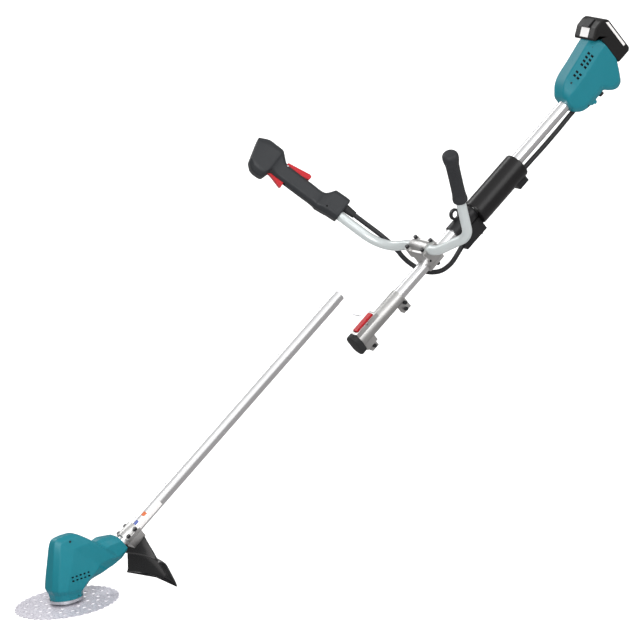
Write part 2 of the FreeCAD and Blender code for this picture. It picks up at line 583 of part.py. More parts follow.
subpart("lever_pins", group("case_pin_set", *case_pins), HANDLE)
subpart("switch_unit", block("switch", (14, 18, 40), (-2, -9, 118)), HANDLE)
trigger_view = [(-21.5, 186), (-24, 172), (-32, 146), (-29, 142.5), (-15, 145), (-10.5, 176),
                (-11, 184)]
trigger = cut("trigger_cut", prism("trigger_side", trigger_view, "trigger_wide"),
              rod("trigger_hole", "small_pin_dia + 2 * pin_clear", 30,
                  (TRIGGER_PIVOT[0], -15, TRIGGER_PIVOT[1]), ALONG_Y))
subpart("trigger", trigger, HANDLE)
lock_view = [(20, 163), (26, 161), (35, 106), (32, 101), (23, 102), (14.5, 150), (15, 160.5)]
lock_lever = cut("lock_cut", prism("lock_side", lock_view, "lock_wide"),
                 rod("lock_hole", "small_pin_dia + 2 * pin_clear", 30,
                     (LOCK_PIVOT[0], -15, LOCK_PIVOT[1]), ALONG_Y))
subpart("lock_lever", lock_lever, HANDLE)
boot = cut("boot_cut", cone("boot_cone", 15, 20, BOOT_RUN, (BOOT_OUT, 0, -BOOT_RUN)),
           moved("boot_cable", control_cable, HANDLE.inverse()))
subpart("cable_boot", boot, HANDLE)

# ------------------------------------------------------------------ front shaft tube
front_run = "front_pipe_end - front_pipe_start"
front_pipe = cut("front_tube",
                 fuse("front_tube_solid",
                      rod("front_tube_out", "pipe_dia", "front_pipe_end - front_pipe_start - spigot_run",
                          ("front_pipe_start", 0, 0), ALONG_X),
                      rod("front_spigot", "spigot_dia", "spigot_run",
                          ("front_pipe_end - spigot_run", 0, 0), ALONG_X)),
                 rod("front_tube_in", pipe_bore, front_run, ("front_pipe_start", 0, 0), ALONG_X))
subpart("front_pipe", front_pipe, FRONT)
subpart("pipe_end_plug", rod("end_plug", pipe_bore, 18, ("front_pipe_end - 20", 0, 0), ALONG_X), FRONT)

# ------------------------------------------------------------------ guard on its bracket
saddle_x = -1118.0
saddle_run = 38.0
GUARD_BOLT_SPOTS = [(saddle_x + 8, -19.5), (saddle_x + 8, 19.5), (saddle_x + 30, -19.5),
                    (saddle_x + 30, 19.5)]


def guard_holes(name):
    return [rod(name + "_hole_%d" % i, "bolt_dia", 60, (x, y, -30))
            for i, (x, y) in enumerate(GUARD_BOLT_SPOTS)]


saddle = cut("saddle_cut", fuse("saddle_solid",
                                rod("saddle_arch", "pipe_dia + 10", saddle_run, (saddle_x, 0, 0), ALONG_X),
                                block("saddle_ears", (saddle_run, 50, 7), (saddle_x, -25, 0.3))),
             rod("saddle_bore", "pipe_dia", 60, (saddle_x - 5, 0, 0), ALONG_X),
             block("saddle_below", (60, 60, 40), (saddle_x - 5, -30, -39.7)), *guard_holes("saddle"),
             *[rod("saddle_face_%d" % i, "bolt_head_dia", 12, (x, y, 7.3))
               for i, (x, y) in enumerate(GUARD_BOLT_SPOTS)])
subpart("guard_bracket_upper", saddle, FRONT)
cradle = cut("cradle_cut", block("cradle_block", (saddle_run, 50, 18), (saddle_x, -25, -18.3)),
             rod("cradle_bore", "pipe_dia", 60, (saddle_x - 5, 0, 0), ALONG_X), *guard_holes("cradle"))
subpart("guard_bracket_lower", cradle, FRONT)
guard_bolts = [fuse("guard_bolt_%d" % i, rod("gb_shank_%d" % i, "bolt_dia", 29, (x, y, -21.7)),
                    rod("gb_head_%d" % i, "bolt_head_dia", "bolt_head_high", (x, y, 7.3)))
               for i, (x, y) in enumerate(GUARD_BOLT_SPOTS)]
subpart("guard_bolts", group("guard_bolt_set", *guard_bolts), FRONT)


def crescent(level, rear, end_left, end_right, bow):
    """A thin closed arc across the machine: rear is its furthest point back, bow its sagitta."""
    thick = num("guard_thick")
    middle = (end_left + end_right) / 2
    left = Vector(rear - bow, end_left, level)
    right = Vector(rear - bow, end_right, level)
    outer = Part.Arc(left, Vector(rear, middle, level), right).toShape()
    shift = Vector(-thick, 0, 0)
    inner = Part.Arc(right + shift, Vector(rear - thick, middle, level), left + shift).toShape()
    return Part.Wire([outer, Part.LineSegment(right, right + shift).toShape(), inner,
                      Part.LineSegment(left + shift, left).toShape()])


GUARD_LEVELS = ((106, 208, -14, 26, 1), (88, 209, -38, 44, 4), (66, 210, -70, 52, 9),
                (44, 211, -96, 53, 13), (18, 213, -131, 53, 18), (3, 215, -146, 53, 20))
guard_shell = Part.makeLoft([crescent(*level) for level in GUARD_LEVELS], True, False)
guard_shell.Placement = HEAD
guard_plate = Part.makeBox(saddle_run, 50, 3.4, Vector(saddle_x, -25, -21.7))
guard_web = Part.makeBox(16, 44, 9.7, Vector(saddle_x + saddle_run - 2, -22, -28))
guard_web.Placement = FRONT
guard_plate.Placement = FRONT
guard_solid = guard_shell.fuse([guard_plate, guard_web])
for x, y in GUARD_BOLT_SPOTS:
    drill = Part.makeCylinder(num("bolt_dia") / 2, 60, Vector(x, y, -30))
    drill.Placement = FRONT
    guard_solid = guard_solid.cut(drill)
pipe_clear = Part.makeCylinder(num("pipe_dia") / 2 + 3, 120, Vector(saddle_x - 10, 0, 0), Vector(1, 0, 0))
pipe_clear.Placement = FRONT
cradle_clear = Part.makeBox(saddle_run, 50, 18, Vector(saddle_x, -25, -18.3))
cradle_clear.Placement = FRONT
guard_solid = guard_solid.cut([pipe_clear, cradle_clear])
free_shape("guard", guard_solid.removeSplitter())

# ------------------------------------------------------------------ cutting head
head_view = [(-36, 19), (-37.5, 40), (-36, 58), (-25, 100), (-14, 132), (-5, 144), (18, 148.5),
             (40, 146), (70, 128), (88, 113), (100, 117), (122, 115), (141, 107), (161, 78),
             (145, 56), (108, 43), (66, 37), (46, 29), (37, 19)]
head_plan = [(-39, -12), (-33, -23), (-20, -32), (0, -37.5), (26, -37.5), (60, -32), (96, -26),
             (170, -26), (170, 26), (96, 26), (60, 32), (26, 37.5), (0, 37.5), (-20, 32), (-33, 23),
             (-39, 12)]
head_end = [(-37, 18), (-38, 60), (-34, 108), (-27, 132), (-18, 150), (18, 150), (27, 132),
            (34, 108), (38, 60), (37, 18)]
head_outer = fuse("head_outer",
                  common("head_block", prism("head_side", head_view, 100),
                         prism("head_top", head_plan, 400, "XY_Plane"),
                         prism("head_section", head_end, 500, "YZ_Plane")),
                  rod("head_base", "ring_dia - 1", "22 - ring_high", (0, 0, "ring_high")))
PIPE_IN_HEAD = HEAD.inverse().multiply(FRONT)
pipe_seat = moved("pipe_seat", rod("pipe_seat_rod", "pipe_dia", 60, ("front_pipe_start", 0, 0), ALONG_X),
                  PIPE_IN_HEAD)
LEAD_ROUTE = [Vector(-394, 0, 0), Vector(-1160, 0, 0), Vector(-1196, 0, 16), Vector(-1244, 0, 48)]
lead_points = [FRONT.multVec(p) for p in LEAD_ROUTE]
lead_path = rounded_path(lead_points, widest_radii(lead_points))
motor_lead = free_shape("motor_lead", swept(lead_path, 3.5))
bearing_low = (26, 17, 9)
bearing_high = (20, 93, 8)
head_screws = [rod("head_screw_%d" % i, 5, 12, (t, y, w), ALONG_Y)
               for i, (t, y, w) in enumerate(((62, -30, 52), (116, -24.5, 101), (20, -21, 136)))]
head_body = cut("head_body", head_outer,
                rod("motor_room", "motor_dia", "motor_high + 4 - motor_low + 8", (0, 0, "motor_low - 8")),
                rod("bearing_low_seat", bearing_low[0], bearing_low[2] + 20, (0, 0, 6)),
                rod("bearing_high_seat", bearing_high[0], bearing_high[2] + 10, (0, 0, bearing_high[1] - 8)),
                pipe_seat, moved("lead_way", motor_lead, HEAD.inverse()),
                group("head_screw_tools", *head_screws))
subpart("head_housing_left", cut("head_left", head_body,
                                 block("head_left_half", (300, 60, 200), (-60, 0, 0))), HEAD)
subpart("head_housing_right", cut("head_right", head_body,
                                  block("head_right_half", (300, 60, 200), (-60, -60, 0))), HEAD)
subpart("head_screws", group("head_screw_set", *head_screws), HEAD)
stator = cut("stator_cut", rod("stator_out", "motor_dia", "motor_high - motor_low", (0, 0, "motor_low")),
             rod("stator_in", "rotor_dia + 2 * air_gap", "motor_high - motor_low", (0, 0, "motor_low")),
             moved("lead_stator", motor_lead, HEAD.inverse()))
subpart("motor_stator", stator, HEAD)


def bearing(label, sizes):
    outer, low, high = sizes
    body = cut(label + "_cut", rod(label + "_out", outer, high, (0, 0, low)),
               rod(label + "_in", "spindle_dia + 2 * pin_clear", high, (0, 0, low)))
    subpart(label, body, HEAD)


bearing("lower_bearing", bearing_low)
bearing("upper_bearing", bearing_high)
dust_ring = cut("dust_cut", rod("dust_out", "ring_dia", "ring_high - ring_low", (0, 0, "ring_low")),
                rod("dust_in", 48, 20, (0, 0, 2)))
subpart("dust_ring", dust_ring, HEAD)

# ------------------------------------------------------------------ spindle, blade and its fixings
spindle = rod("spindle_rod", "spindle_dia", 118, (0, 0, -16))
subpart("spindle", spindle, HEAD)
rotor = cut("rotor_cut", rod("rotor_out", "rotor_dia", "motor_high - motor_low", (0, 0, "motor_low")),
            rod("rotor_in", "spindle_dia", 60, (0, 0, "motor_low - 5")))
subpart("motor_rotor", rotor, HEAD)
half_blade = "blade_thick / 2"
receiver = cut("receiver_cut",
               fuse("receiver_solid", rod("receiver_disc", 44, 6, (0, 0, half_blade)),
                    rod("receiver_boss", "blade_bore", "blade_thick", (0, 0, "0 - blade_thick / 2"))),
               rod("receiver_hole", "spindle_dia", 40, (0, 0, -20)))
subpart("receiver_washer", receiver, HEAD)
under = "0 - blade_thick / 2 - 3"
washer = cut("washer_cut", rod("washer_disc", 40, 3, (0, 0, under)),
             rod("washer_hole", "spindle_dia", 40, (0, 0, -20)))
subpart("clamp_washer", washer, HEAD)
hexagon = [(math.cos(math.radians(60 * k)) * 8.5, math.sin(math.radians(60 * k)) * 8.5)
           for k in range(6)]
nut_body = prism("nut_hex", hexagon, 8, "XY_Plane")
nut_body.Placement = Placement(Vector(0, 0, num("0 - Sizes.blade_thick / 2 - 7")), Rotation())
nut = cut("nut_cut", nut_body, rod("nut_hole", "spindle_dia", 40, (0, 0, -30)))
subpart("blade_nut", nut, HEAD)


def blade_shape():
    """A thin disc with a scalloped rim of teeth and three rings of holes."""
    thick = num("blade_thick")
    teeth = int(num("blade_teeth"))
    tip = num("blade_dia") / 2
    corners = []
    for k in range(teeth):
        for part, reach in ((0.0, tip), (0.30, tip), (0.62, tip - num("tooth_deep"))):
            angle = 2 * math.pi * (k + part) / teeth
            corners.append(Vector(reach * math.cos(angle), reach * math.sin(angle), -thick / 2))
    disc = Part.Face(Part.makePolygon(corners + corners[:1])).extrude(Vector(0, 0, thick))
    drills = [Part.makeCylinder(num("blade_bore") / 2, thick * 3, Vector(0, 0, -thick * 1.5))]
    for count, ring, hole in ((8, 0.40, 5.0), (16, 0.60, 5.0), (20, 0.80, 4.5)):
        for k in range(count):
            angle = 2 * math.pi * k / count
            spot = Vector(ring * tip * math.cos(angle), ring * tip * math.sin(angle), -thick * 1.5)
            drills.append(Part.makeCylinder(hole, thick * 3, spot))
    solid = disc.cut(drills)
    solid.Placement = HEAD
    return solid


free_shape("blade", blade_shape())

# ------------------------------------------------------------------ recompute, check and write
doc.recompute()
for feature in doc.Objects:
    if "Invalid" in feature.State or "Error" in feature.State:
        raise RuntimeError("%s is not up to date: %s" % (feature.Label, feature.State))
os.makedirs("parts", exist_ok=True)
for feature in SUBPARTS:
    shape = feature.Shape
    if shape.isNull() or not shape.isValid() or not shape.Solids:
        raise RuntimeError("%s has no valid solid" % feature.Label)
    shape.exportStep("parts/%s.step" % feature.Label)
print("%d sub-parts written" % len(SUBPARTS))
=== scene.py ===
# A battery brush cutter with its two-piece shaft undone: the rear half with its U handlebar, and
# the front half with the motor head beside it.
import bmesh
import bpy
import json
import math
import numpy as np
from mathutils import Matrix, Vector


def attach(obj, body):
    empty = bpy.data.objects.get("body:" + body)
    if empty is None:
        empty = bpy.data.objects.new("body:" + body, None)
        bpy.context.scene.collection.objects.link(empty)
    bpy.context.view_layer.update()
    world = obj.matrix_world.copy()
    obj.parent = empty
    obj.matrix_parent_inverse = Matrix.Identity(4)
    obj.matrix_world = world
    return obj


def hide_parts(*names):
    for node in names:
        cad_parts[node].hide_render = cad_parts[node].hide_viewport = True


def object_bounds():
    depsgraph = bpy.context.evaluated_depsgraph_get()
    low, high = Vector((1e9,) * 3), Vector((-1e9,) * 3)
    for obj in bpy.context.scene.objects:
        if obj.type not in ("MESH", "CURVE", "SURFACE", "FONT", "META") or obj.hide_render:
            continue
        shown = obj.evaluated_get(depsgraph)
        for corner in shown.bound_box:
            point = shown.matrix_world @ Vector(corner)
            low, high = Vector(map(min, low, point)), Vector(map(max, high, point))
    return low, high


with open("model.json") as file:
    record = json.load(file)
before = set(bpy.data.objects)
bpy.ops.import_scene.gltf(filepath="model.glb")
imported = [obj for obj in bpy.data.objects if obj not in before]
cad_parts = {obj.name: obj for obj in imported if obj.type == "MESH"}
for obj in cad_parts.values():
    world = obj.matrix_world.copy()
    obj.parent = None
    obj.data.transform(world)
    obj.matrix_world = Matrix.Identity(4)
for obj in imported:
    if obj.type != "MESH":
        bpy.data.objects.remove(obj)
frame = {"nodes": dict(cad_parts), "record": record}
cad_box = [[float(v) for v in corner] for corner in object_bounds()]


def stand(name, data):
    """A new object that stands in the scene."""
    made = bpy.data.objects.new(name, data)
    bpy.context.scene.collection.objects.link(made)
    return made


# ---------------------------------------------------------------- camera
# A long lens from the operator's left, a little above and in front of the handlebar, rolled so
# that the shaft climbs from lower left to upper right.  It stands so that the harness eye, the
# origin, is seen right of the middle and above it.
look_right = Vector((0.6265, -0.5574, -0.5448))
look_up = Vector((0.7156, 0.1342, 0.6855))
look_back = Vector((-0.3090, -0.8193, 0.4830))
stand_off = 20.0
eye_right = 0.2999
eye_up = 0.2347
lens_mm = 505.7
sensor_mm = 36.0
far_clip = 100.0
camera_data = bpy.data.cameras.new("camera")
camera_data.lens = lens_mm
camera_data.sensor_width = sensor_mm
camera_data.clip_end = far_clip
camera = stand("camera", camera_data)
camera.matrix_world = Matrix((
    (look_right.x, look_up.x, look_back.x, 0.0),
    (look_right.y, look_up.y, look_back.y, 0.0),
    (look_right.z, look_up.z, look_back.z, 0.0),
    (0.0, 0.0, 0.0, 1.0)))
camera.location = look_back * stand_off - look_right * eye_right - look_up * eye_up
bpy.context.scene.camera = camera
bpy.context.scene.view_settings.view_transform = "Standard"


# ---------------------------------------------------------------- studio: floor, lamps and sky
# A wide matt floor some way below the object keeps a soft shadow; three large soft lamps and an
# even sky light it.  The camera sees the sky white and the floor with a little light added.
# Mirror rays see a grey floor and a sky that brightens towards one side, as a studio panel does.
floor_glow = 0.42
floor_in_mirror = (0.42, 0.41, 0.41)
floor_gap = 0.16
floor_reach = 30.0
sky_even = 0.55
panel_way = (0.31, -0.82, 0.48)
panel_low, panel_rise, panel_edge = 0.22, 0.85, 1.6


class Wire:
    """A node socket that can be added, multiplied and compared like a number."""

    def __init__(self, tree, socket):
        self.tree = tree
        self.socket = socket

    def node(self, kind, settings=None, **inputs):
        """Any node: its settings are set first, then values or links go to the named inputs."""
        made = self.tree.nodes.new(kind)
        for key, value in (settings or {}).items():
            setattr(made, key, value)
        for key, value in inputs.items():
            target = [s for s in made.inputs if s.enabled and s.name.replace(" ", "_") == key][0]
            if isinstance(value, Wire):
                self.tree.links.new(value.socket, target)
            elif isinstance(value, tuple) and len(value) == 3 and target.type == "RGBA":
                target.default_value = (*value, 1.0)
            else:
                target.default_value = value
        return made

    def out(self, made, name=None):
        """The named output of a node, or its first one."""
        chosen = [s for s in made.outputs if s.enabled and (name is None or s.name == name)][0]
        return Wire(self.tree, chosen)

    def maths(self, operation, a, b):
        """A sum of two wires, or of a wire and a number."""
        made = self.tree.nodes.new("ShaderNodeMath")
        made.operation = operation
        for socket, value in zip(made.inputs, (a, b)):
            if isinstance(value, Wire):
                self.tree.links.new(value.socket, socket)
            else:
                socket.default_value = value
        return Wire(self.tree, made.outputs[0])

    def __add__(self, other): return self.maths("ADD", self, other)
    def __radd__(self, other): return self.maths("ADD", other, self)
    def __rsub__(self, other): return self.maths("SUBTRACT", other, self)
    def __mul__(self, other): return self.maths("MULTIPLY", self, other)
    def __pow__(self, other): return self.maths("POWER", self, other)
    def __lt__(self, other): return self.maths("LESS_THAN", self, other)


def start_material(name):
    """A new material, its node tree and its Principled shader."""
    material = bpy.data.materials.new(name)
    material.use_nodes = True
    tree = material.node_tree
    shader = [n for n in tree.nodes if n.type == "BSDF_PRINCIPLED"][0]
    return material, tree, shader


floor_material, tree, shader = start_material("studio_floor")
shader.inputs["Base Color"].default_value = (0.86, 0.86, 0.86, 1)
shader.inputs["Roughness"].default_value = 1.0
shader.inputs["Specular IOR Level"].default_value = 0.0
wire = Wire(tree, shader.outputs[0])
path = wire.node("ShaderNodeLightPath")
glow = wire.node("ShaderNodeEmission", Color=(1.0, 1.0, 1.0), Strength=floor_glow)
brightened = wire.node("ShaderNodeAddShader")
tree.links.new(shader.outputs[0], brightened.inputs[0])
tree.links.new(glow.outputs[0], brightened.inputs[1])
by_camera = wire.node("ShaderNodeMixShader", Fac=wire.out(path, "Is Camera Ray"))
tree.links.new(shader.outputs[0], by_camera.inputs[1])
tree.links.new(brightened.outputs[0], by_camera.inputs[2])
mirrored = wire.node("ShaderNodeEmission", Color=floor_in_mirror, Strength=1.0)
split = wire.node("ShaderNodeMixShader", Fac=wire.out(path, "Is Glossy Ray"))
tree.links.new(by_camera.outputs[0], split.inputs[1])
tree.links.new(mirrored.outputs[0], split.inputs[2])
surface_end = [n for n in tree.nodes if n.type == "OUTPUT_MATERIAL"][0]
tree.links.new(split.outputs[0], surface_end.inputs["Surface"])
floor_mesh = bpy.data.meshes.new("studio_floor")
floor_mesh.from_pydata([(x * floor_reach, y * floor_reach, cad_box[0][2] - floor_gap)
                        for x, y in ((-1, -1), (1, -1), (1, 1), (-1, 1))], [], [(0, 1, 2, 3)])
floor_mesh.materials.append(floor_material)
floor = stand("studio_floor", floor_mesh)

world = bpy.data.worlds.new("studio_sky")
world.use_nodes = True
bpy.context.scene.world = world
sky_tree = world.node_tree
sky = [n for n in sky_tree.nodes if n.type == "BACKGROUND"][0]
sky_wire = Wire(sky_tree, sky.outputs[0])
sky_path = sky_wire.node("ShaderNodeLightPath")
white_seen = sky_wire.out(sky_path, "Is Camera Ray")
mirror_seen = sky_wire.out(sky_path, "Is Glossy Ray")
sky_way = sky_wire.out(sky_wire.node("ShaderNodeTexCoord"), "Generated")
panel = sky_wire.node("ShaderNodeVectorMath", {"operation": "DOT_PRODUCT"}, Vector=sky_way)
panel.inputs[1].default_value = panel_way
facing_panel = 0.5 + sky_wire.out(panel, "Value") * 0.5
mirror_level = panel_low + facing_panel ** panel_edge * panel_rise
even_level = sky_even + white_seen * (1.0 - sky_even)
sky_level = even_level * (1.0 - mirror_seen) + mirror_level * mirror_seen
sky_tree.links.new(sky_level.socket, sky.inputs["Strength"])
sky.inputs["Color"].default_value = (1, 1, 1, 1)


def soft_lamp(name, spot, aim, size, power):
    """A rectangular area lamp at spot, turned to face aim."""
    data = bpy.data.lights.new(name, "AREA")
    data.shape = "RECTANGLE"
    data.size, data.size_y = size
    data.energy = power
    lamp = stand(name, data)
    lamp.location = spot
    lamp.rotation_euler = (Vector(aim) - Vector(spot)).to_track_quat("-Z", "Y").to_euler()


lamp_aim = (-0.45, 0.0, 0.0)
soft_lamp("key_lamp", (-1.4, -2.2, 2.9), lamp_aim, (2.2, 1.6), 85)
soft_lamp("fill_lamp", (1.8, -2.6, 1.2), lamp_aim, (2.0, 2.0), 30)
soft_lamp("rim_lamp", (0.4, 2.6, 2.2), lamp_aim, (2.6, 1.2), 45)


# ---------------------------------------------------------------- plain finishes of the CAD pieces
cloud_scale = 22.0
grain_height = 0.0003
metal_specular, plain_specular = 0.5, 0.32


def finish(name, colour, roughness, metallic=0.0, grain=0.0, grain_scale=900.0, coat=0.0,
           blotch=0.04):
    """A moulded or metal finish: colour with faint blotches, uneven roughness and a fine grain."""
    material, tree, shader = start_material(name)
    wire = Wire(tree, shader.outputs[0])
    place = wire.out(wire.node("ShaderNodeTexCoord"), "Object")
    cloud = wire.out(wire.node("ShaderNodeTexNoise", Vector=place, Scale=cloud_scale, Detail=3.0),
                     "Fac")
    dark = tuple(c * (1 - blotch) for c in colour)
    light = tuple(min(1.0, c * (1 + blotch)) for c in colour)
    mixed = wire.node("ShaderNodeMix", {"data_type": "RGBA"}, Factor=cloud, A=dark, B=light)
    tree.links.new(wire.out(mixed, "Result").socket, shader.inputs["Base Color"])
    uneven = roughness * 0.85 + cloud * (roughness * 0.3)
    tree.links.new(uneven.socket, shader.inputs["Roughness"])
    shader.inputs["Metallic"].default_value = metallic
    shader.inputs["Coat Weight"].default_value = coat
    specular = metal_specular if metallic else plain_specular
    shader.inputs["Specular IOR Level"].default_value = specular
    if grain:
        fine = wire.node("ShaderNodeTexNoise", Vector=place, Scale=grain_scale, Detail=2.0)
        bump = wire.node("ShaderNodeBump", Strength=grain, Distance=grain_height,
                         Height=wire.out(fine, "Fac"))
        tree.links.new(bump.outputs[0], shader.inputs["Normal"])
    return material


finishes = {name: finish(name, colour, roughness, **more) for name, colour, roughness, more in (
    ("bare_tube", (0.80, 0.80, 0.81), 0.26, {"metallic": 1.0}),
    ("cast_metal", (0.56, 0.555, 0.545), 0.42,
     {"metallic": 1.0, "grain": 0.4, "grain_scale": 700.0, "blotch": 0.10}),
    ("black_bolts", (0.03, 0.03, 0.032), 0.40, {"metallic": 0.6}),
    ("steel_pins", (0.60, 0.60, 0.62), 0.30, {"metallic": 1.0}),
    ("steel_trim", (0.62, 0.63, 0.65), 0.30, {"metallic": 1.0}),
    ("black_plastic", (0.012, 0.012, 0.013), 0.36, {"grain": 0.3}),
    ("black_rubber", (0.018, 0.018, 0.019), 0.62, {"grain": 0.3}),
    ("cable_sleeve", (0.016, 0.016, 0.018), 0.45, {}),
    ("pad_foam", (0.008, 0.0075, 0.008), 0.30, {"grain": 0.12, "grain_scale": 500.0}),
    ("teal_shell", (0.004, 0.178, 0.225), 0.42, {"grain": 0.25, "blotch": 0.03}),
    ("charcoal_shell", (0.022, 0.024, 0.027), 0.46, {"grain": 0.45}),
    ("circuit_board", (0.01, 0.12, 0.05), 0.35, {}),
    ("painted_bar", (0.60, 0.64, 0.64), 0.30, {"metallic": 0.25}),
    ("grip_rubber", (0.022, 0.023, 0.026), 0.58, {"grain": 0.4}),
    ("cell_wrap", (0.08, 0.20, 0.42), 0.35, {}),
    ("red_plastic", (0.50, 0.010, 0.017), 0.40, {"grain": 0.2}),
    ("guard_plastic", (0.007, 0.007, 0.008), 0.17, {"coat": 0.4}),
    ("motor_iron", (0.25, 0.24, 0.23), 0.45, {"metallic": 0.8}),
    ("blade_steel", (0.72, 0.70, 0.75), 0.42, {"metallic": 0.15}))}

# the blade's etched pattern: a darker colour on the lines between cells, and relief between them
etch_scale = 120.0
etch_line = 0.09
etch_height = 0.0006
blade_tree = finishes["blade_steel"].node_tree
blade_shader = [n for n in blade_tree.nodes if n.type == "BSDF_PRINCIPLED"][0]
blade_wire = Wire(blade_tree, blade_shader.outputs[0])
blade_place = blade_wire.out(blade_wire.node("ShaderNodeTexCoord"), "Object")
etch_cells = blade_wire.node("ShaderNodeTexVoronoi", {"feature": "DISTANCE_TO_EDGE"},
                             Vector=blade_place, Scale=etch_scale)
from_line = blade_wire.out(etch_cells, "Distance")
etched_colour = blade_wire.node("ShaderNodeMix", {"data_type": "RGBA"},
                                Factor=from_line < etch_line,
                                A=(0.68, 0.66, 0.72), B=(0.50, 0.48, 0.54))
blade_tree.links.new(blade_wire.out(etched_colour, "Result").socket,
                     blade_shader.inputs["Base Color"])
blade_bump = blade_wire.node("ShaderNodeBump", Strength=0.5, Distance=etch_height,
                             Height=from_line)
blade_tree.links.new(blade_bump.outputs[0], blade_shader.inputs["Normal"])

slot_of = {entry["node"]: entry["material_slot"] for entry in frame["record"]["subparts"]}
for name, node in frame["nodes"].items():
    for slot in node.material_slots:
        slot.material = finishes[slot_of[name]]


# ---------------------------------------------------------------- cutting head housing
# Two glass-filled nylon shells screwed together round the motor.  A round skirt at the blade grows
# into a flat-sided body with a bevelled front, and a thick neck that clamps the shaft tube.
MM = 0.001
facet_sharp = 22.0


def unit(vector):
    """The same direction, one long."""
    return np.asarray(vector, float) / np.linalg.norm(vector)


def through(rows, count):
    """A smooth row for each of count even steps: Catmull-Rom cubic through the given rows."""
    rows = np.array(rows, float)
    padded = np.vstack([2 * rows[0] - rows[1], rows, 2 * rows[-1] - rows[-2]])
    at = np.linspace(0, len(rows) - 1, count)
    cell = np.minimum(at.astype(int), len(rows) - 2)
    f = (at - cell)[:, None]
    a, b, c, d = (padded[cell + k] for k in range(4))
    return 0.5 * (2 * b + (c - a) * f + (2 * a - 5 * b + 4 * c - d) * f ** 2
                  + (3 * b - a - 3 * c + d) * f ** 3)


def rounded(corners, cut, steps=5):
    """A closed outline with each corner turned into a parabola that starts cut away from it, but
    never nearer than a little short of the middle of a side."""
    most = 0.45
    corners = np.array(corners, float)
    back = np.roll(corners, 1, 0) - corners
    ahead = np.roll(corners, -1, 0) - corners
    shorter = np.minimum(np.linalg.norm(back, axis=1), np.linalg.norm(ahead, axis=1))
    reach = np.minimum(cut, most * shorter)[:, None]
    start = corners + back / np.linalg.norm(back, axis=1)[:, None] * reach
    end = corners + ahead / np.linalg.norm(ahead, axis=1)[:, None] * reach
    f = np.linspace(0, 1, steps)[None, :, None]
    curve = (start[:, None] * (1 - f) ** 2 + corners[:, None] * 2 * f * (1 - f)
             + end[:, None] * f ** 2)
    return curve.reshape(-1, 2)


def skin(name, rings, material, body, sharp=28.0):
    """A mesh from rings[m, k, 3]: quads between neighbouring rings, a fan to the middle of each
    end.  Faces meeting at more than sharp degrees keep a hard edge."""
    m, k, _ = rings.shape
    row = np.arange(m - 1)[:, None] * k
    here = np.arange(k)[None, :]
    after = (here + 1) % k
    quads = np.stack([row + here, row + after, row + k + after, row + k + here], -1).reshape(-1, 4)
    points = np.vstack([rings.reshape(-1, 3), rings[0].mean(0), rings[-1].mean(0)])
    first, last = m * k, m * k + 1
    faces = quads.tolist()
    faces += [[first, (j + 1) % k, j] for j in range(k)]
    faces += [[last, (m - 1) * k + j, (m - 1) * k + (j + 1) % k] for j in range(k)]
    a, b, c = (points[quads[:, corner]] for corner in range(3))
    middle = points.mean(0)
    turned_in = np.einsum("ij,ij->i", np.cross(b - a, c - a), a - middle).sum() < 0
    if turned_in:
        faces = [face[::-1] for face in faces]
    mesh = bpy.data.meshes.new(name)
    mesh.from_pydata(points.tolist(), [], faces)
    mesh.materials.append(material)
    mesh.polygons.foreach_set("use_smooth", [True] * len(mesh.polygons))
    mesh.set_sharp_from_angle(angle=math.radians(sharp))
    piece = stand(name, mesh)
    even = piece.modifiers.new("even_normals", "WEIGHTED_NORMAL")
    even.keep_sharp = True
    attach(piece, body)
    return piece


def frame_rows(origin, across, side, along):
    """Turns local points (across, side, along) in millimetres into row-frame metres."""
    basis = np.array([across, side, along], float)
    return lambda points: (np.asarray(points) @ basis + np.array(origin, float)) * MM


def carve(piece, boxes, place, material):
    """Cuts boxes, (low corner, high corner) in local millimetres, out of a finished piece; the
    walls of the cuts take the material."""
    box_faces = ((0, 1, 3, 2), (4, 6, 7, 5), (0, 4, 5, 1), (2, 3, 7, 6), (0, 2, 6, 4),
                 (1, 5, 7, 3))
    corners = []
    faces = []
    for low, high in boxes:
        at = len(corners)
        box = [(x, y, z) for x in (low[0], high[0]) for y in (low[1], high[1])
               for z in (low[2], high[2])]
        corners += place(box).tolist()
        faces += [[at + index for index in face] for face in box_faces]
    mesh = bpy.data.meshes.new("cutter")
    mesh.from_pydata(corners, [], faces)
    mesh.materials.append(material)
    tool = stand("cutter", mesh)
    away = piece.modifiers.new("carve", "BOOLEAN")
    away.operation = "DIFFERENCE"
    away.object = tool
    away.material_mode = "TRANSFER"
    for modifier in piece.modifiers:
        modifier.show_viewport = modifier == away
    bpy.context.view_layer.update()
    graph = bpy.context.evaluated_depsgraph_get()
    done = bpy.data.meshes.new_from_object(piece.evaluated_get(graph))
    piece.modifiers.remove(away)
    piece.data = done
    for modifier in piece.modifiers:
        modifier.show_viewport = True
    bpy.data.objects.remove(tool)


# the rear tube's axis lies this far below the eye; the front half lies beside it and higher
axis_drop = 28.0
front_side, front_rise = -96.0, 173.0
front_place = frame_rows((0, front_side, front_rise - axis_drop), (0, 1, 0), (0, 0, 1), (1, 0, 0))
head_tilt = math.radians(30.87)
head_across = (math.cos(head_tilt), 0, -math.sin(head_tilt))
head_along = (math.sin(head_tilt), 0, math.cos(head_tilt))
head_place = frame_rows((-1308.0, front_side, front_rise - axis_drop + 4.5), head_across,
                        (0, 1, 0), head_along)
